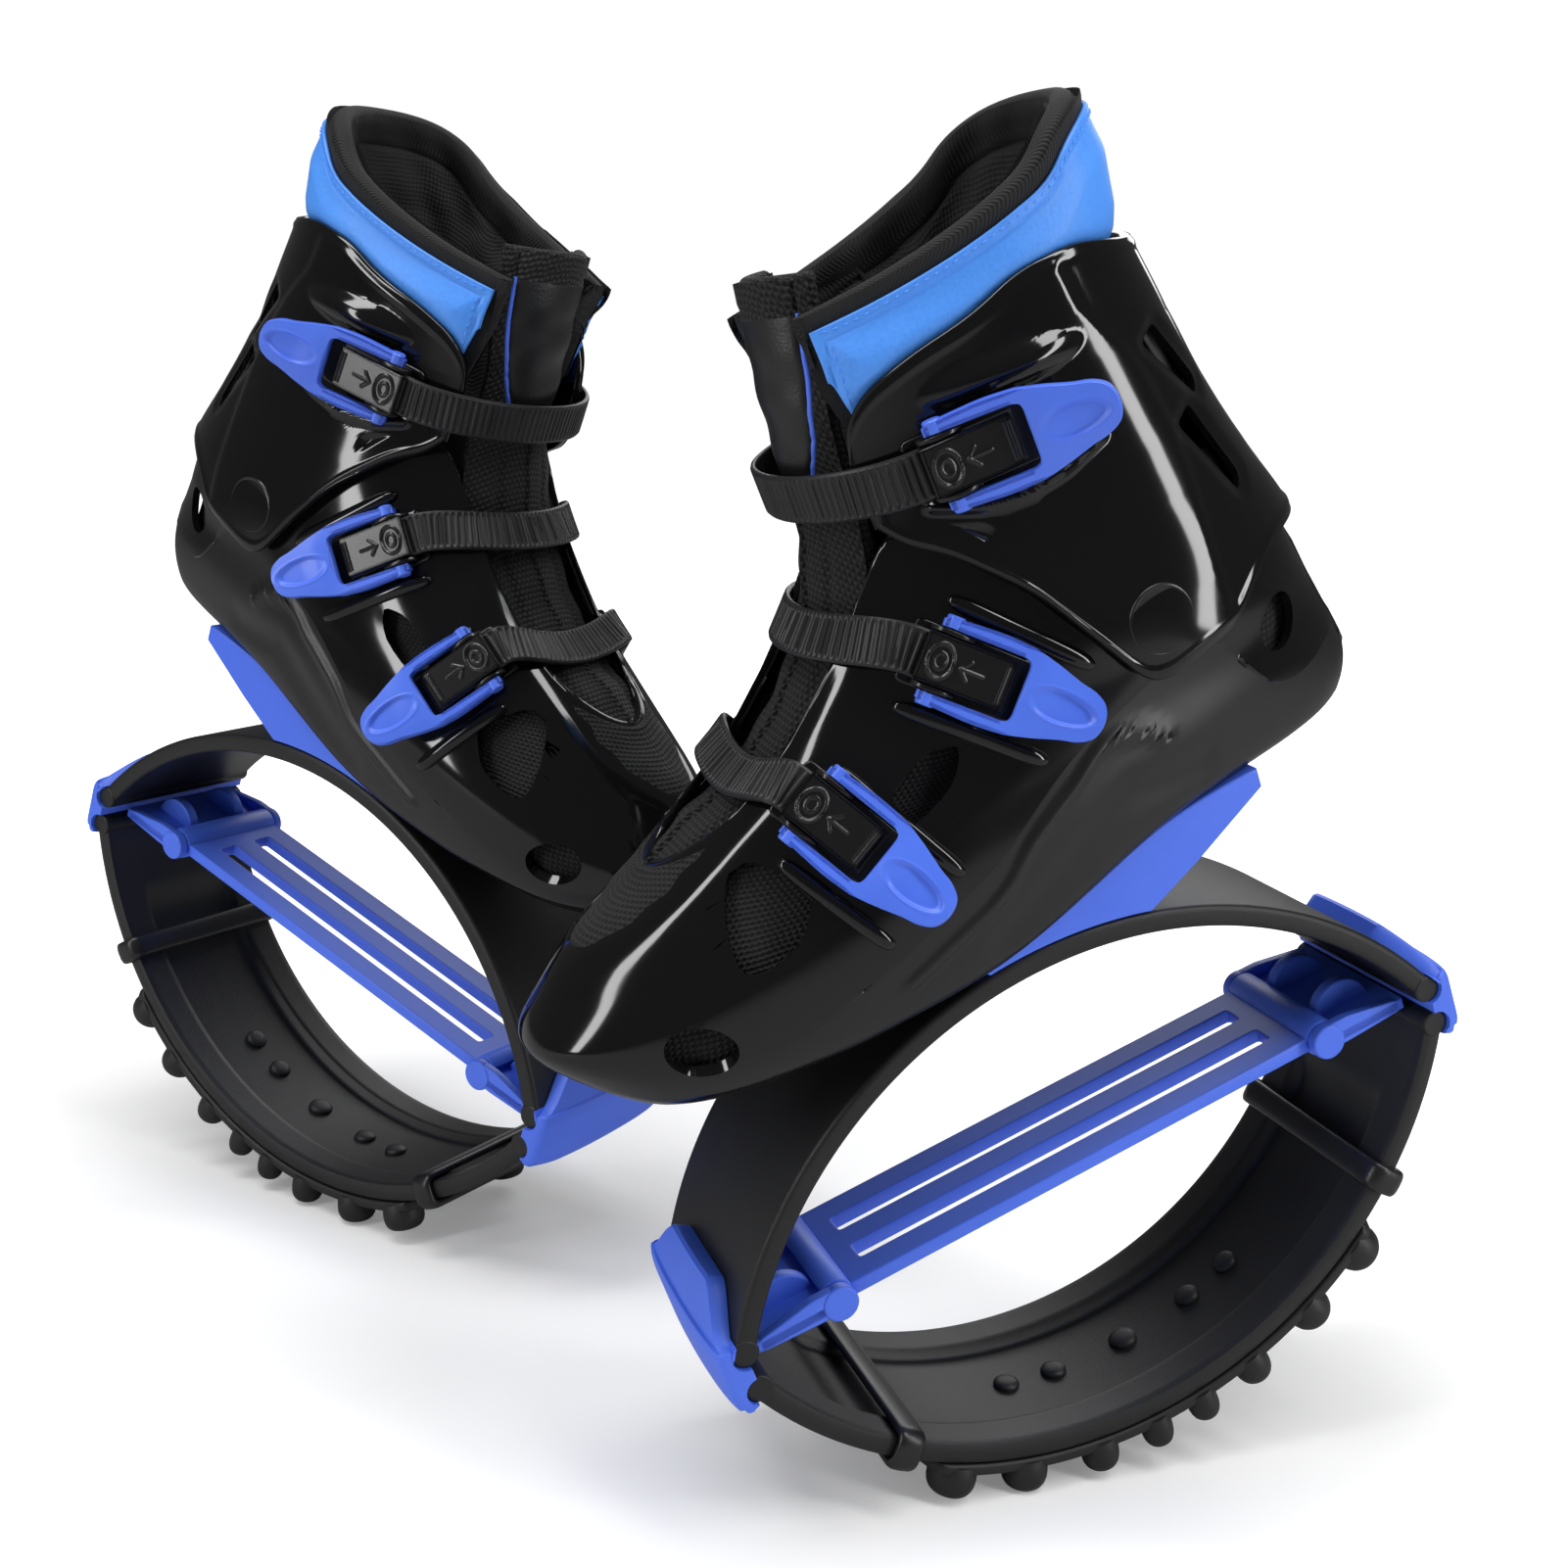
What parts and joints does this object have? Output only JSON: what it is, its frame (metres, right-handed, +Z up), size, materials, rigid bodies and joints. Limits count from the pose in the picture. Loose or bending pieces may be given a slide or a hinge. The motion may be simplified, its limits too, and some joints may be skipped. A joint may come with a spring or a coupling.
{
  "type": "jumping shoes",
  "caption": "Rebound jumping shoes, a pair: buckled hinged boots on oval spring frames with lugged rubber treads and a slotted blue tension spring.",
  "frame": {"origin": "middle of the pair's bounding box, on the floor", "axes": "+Z up; +X along the line from the rear (right) shoe to the front (left) shoe, +Y away from the viewer of the picture"},
  "size_m": [0.5866, 0.4, 0.4879],
  "materials": {
    "frame_plastic": "satin moulded plastic, cobalt blue",
    "buckle_plastic": "smooth cobalt blue plastic, slightly glossy",
    "collar_leatherette": "light blue grained leatherette",
    "shell_plastic": "polished black plastic",
    "leaf": "textured black composite",
    "rubber": "dull black rubber",
    "mesh_fabric": "padded black mesh",
    "strap": "matt black ribbed strap",
    "dark_steel": "dark smooth steel disc"
  },
  "bodies": {
    "ground": {"left_tread": "rubber", "left_lower_arc": "leaf", "left_front_band": "rubber", "left_rear_band": "rubber", "right_tread": "rubber", "right_lower_arc": "leaf", "right_front_band": "rubber", "right_rear_band": "rubber"},
    "left_spring_unit": {"left_front_cap": "frame_plastic", "left_rear_cap": "frame_plastic", "left_tension_spring": "frame_plastic"},
    "left_boot": {"left_upper_arc": "leaf", "left_riser": "frame_plastic", "left_boot_shell": "shell_plastic", "left_liner_foot": "mesh_fabric", "left_insole": "mesh_fabric", "left_tongue": "mesh_fabric", "left_outer_ankle_rivet": "dark_steel", "left_inner_ankle_rivet": "dark_steel", "left_mid_strap": "strap", "left_mid_buckle_base": "shell_plastic", "left_front_strap": "strap", "left_front_buckle_base": "shell_plastic"},
    "left_cuff": {"left_cuff": "shell_plastic", "left_liner_ankle": "mesh_fabric", "left_collar_panel": "collar_leatherette", "left_top_strap": "strap", "left_top_buckle_base": "shell_plastic"},
    "left_top_lever": {"left_top_lever": "buckle_plastic"},
    "left_top_tab": {"left_top_press_tab": "shell_plastic"},
    "left_mid_lever": {"left_mid_lever": "buckle_plastic"},
    "left_mid_tab": {"left_mid_press_tab": "shell_plastic"},
    "left_front_lever": {"left_front_lever": "buckle_plastic"},
    "left_front_tab": {"left_front_press_tab": "shell_plastic"},
    "right_spring_unit": {"right_front_cap": "frame_plastic", "right_rear_cap": "frame_plastic", "right_tension_spring": "frame_plastic"},
    "right_boot": {"right_upper_arc": "leaf", "right_riser": "frame_plastic", "right_boot_shell": "shell_plastic", "right_liner_foot": "mesh_fabric", "right_insole": "mesh_fabric", "right_tongue": "mesh_fabric", "right_outer_ankle_rivet": "dark_steel", "right_inner_ankle_rivet": "dark_steel", "right_mid_strap": "strap", "right_mid_buckle_base": "shell_plastic", "right_front_strap": "strap", "right_front_buckle_base": "shell_plastic"},
    "right_cuff": {"right_cuff": "shell_plastic", "right_liner_ankle": "mesh_fabric", "right_collar_panel": "collar_leatherette", "right_top_strap": "strap", "right_top_buckle_base": "shell_plastic"},
    "right_top_lever": {"right_top_lever": "buckle_plastic"},
    "right_top_tab": {"right_top_press_tab": "shell_plastic"},
    "right_mid_lever": {"right_mid_lever": "buckle_plastic"},
    "right_mid_tab": {"right_mid_press_tab": "shell_plastic"},
    "right_front_lever": {"right_front_lever": "buckle_plastic"},
    "right_front_tab": {"right_front_press_tab": "shell_plastic"}
  },
  "joints": [
    {"name": "left_lower_flex", "type": "slide", "parent": "ground", "child": "left_spring_unit", "axis": [-0.3709, -0.1371, 0.9185], "range_m": [-0.012, 0], "stiffness_N_per_m": 30000, "deforming": ["left_lower_arc"]},
    {"name": "left_upper_flex", "type": "slide", "parent": "left_spring_unit", "child": "left_boot", "axis": [-0.3709, -0.1371, 0.9185], "range_m": [-0.012, 0], "stiffness_N_per_m": 30000, "deforming": ["left_upper_arc"]},
    {"name": "left_ankle_hinge", "type": "hinge", "parent": "left_boot", "child": "left_cuff", "pos_m": [0.13565, -0.10243, 0.32505], "axis": [0.3468, -0.9379, 0], "range_deg": [0, 6]},
    {"name": "left_top_lever_hinge", "type": "hinge", "parent": "left_cuff", "child": "left_top_lever", "pos_m": [0.08475, -0.17711, 0.37076], "axis": [0.427, 0.0849, -0.9003], "range_deg": [0, 95]},
    {"name": "left_top_tab_hinge", "type": "hinge", "parent": "left_cuff", "child": "left_top_tab", "pos_m": [0.0921, -0.17749, 0.37421], "axis": [0.427, 0.0849, -0.9003], "range_deg": [-6, 0], "stiffness_Nm_per_rad": 0.05},
    {"name": "left_mid_lever_hinge", "type": "hinge", "parent": "left_boot", "child": "left_mid_lever", "pos_m": [0.0871, -0.17411, 0.31046], "axis": [-0.3112, -0.1687, -0.9353], "range_deg": [0, 95]},
    {"name": "left_mid_tab_hinge", "type": "hinge", "parent": "left_boot", "child": "left_mid_tab", "pos_m": [0.09481, -0.17505, 0.30807], "axis": [-0.3112, -0.1687, -0.9353], "range_deg": [-6, 0], "stiffness_Nm_per_rad": 0.05},
    {"name": "left_front_lever_hinge", "type": "hinge", "parent": "left_boot", "child": "left_front_lever", "pos_m": [0.05051, -0.18156, 0.26379], "axis": [-0.5859, -0.1832, -0.7894], "range_deg": [0, 95]},
    {"name": "left_front_tab_hinge", "type": "hinge", "parent": "left_boot", "child": "left_front_tab", "pos_m": [0.05694, -0.18426, 0.25964], "axis": [-0.5859, -0.1832, -0.7894], "range_deg": [-6, 0], "stiffness_Nm_per_rad": 0.05},
    {"name": "right_lower_flex", "type": "slide", "parent": "ground", "child": "right_spring_unit", "axis": [0.2636, -0.1695, 0.9496], "range_m": [-0.012, 0], "stiffness_N_per_m": 30000, "deforming": ["right_lower_arc"]},
    {"name": "right_upper_flex", "type": "slide", "parent": "right_spring_unit", "child": "right_boot", "axis": [0.2636, -0.1695, 0.9496], "range_m": [-0.012, 0], "stiffness_N_per_m": 30000, "deforming": ["right_upper_arc"]},
    {"name": "right_ankle_hinge", "type": "hinge", "parent": "right_boot", "child": "right_cuff", "pos_m": [-0.15371, 0.08953, 0.32357], "axis": [0.5408, 0.8411, 0], "range_deg": [0, 6]},
    {"name": "right_top_lever_hinge", "type": "hinge", "parent": "right_cuff", "child": "right_top_lever", "pos_m": [-0.12372, 0.00796, 0.37556], "axis": [0.3309, -0.1313, 0.9345], "range_deg": [0, 95]},
    {"name": "right_top_tab_hinge", "type": "hinge", "parent": "right_cuff", "child": "right_top_tab", "pos_m": [-0.1312, 0.00932, 0.3784], "axis": [0.3309, -0.1313, 0.9345], "range_deg": [-6, 0], "stiffness_Nm_per_rad": 0.05},
    {"name": "right_mid_lever_hinge", "type": "hinge", "parent": "right_boot", "child": "right_mid_lever", "pos_m": [-0.12091, 0.00852, 0.31521], "axis": [-0.3353, 0.2754, 0.9009], "range_deg": [0, 95]},
    {"name": "right_mid_tab_hinge", "type": "hinge", "parent": "right_boot", "child": "right_mid_tab", "pos_m": [-0.12843, 0.00914, 0.31222], "axis": [-0.3353, 0.2754, 0.9009], "range_deg": [-6, 0], "stiffness_Nm_per_rad": 0.05},
    {"name": "right_front_lever_hinge", "type": "hinge", "parent": "right_boot", "child": "right_front_lever", "pos_m": [-0.08346, -0.00877, 0.27195], "axis": [-0.5889, 0.3413, 0.7326], "range_deg": [0, 95]},
    {"name": "right_front_tab_hinge", "type": "hinge", "parent": "right_boot", "child": "right_front_tab", "pos_m": [-0.09, -0.01023, 0.26737], "axis": [-0.5889, 0.3413, 0.7326], "range_deg": [-6, 0], "stiffness_Nm_per_rad": 0.05}
  ],
  "couplings": [
    {"joint": "left_upper_flex", "follows": "left_lower_flex", "ratio": 1},
    {"joint": "right_upper_flex", "follows": "right_lower_flex", "ratio": 1}
  ]
}
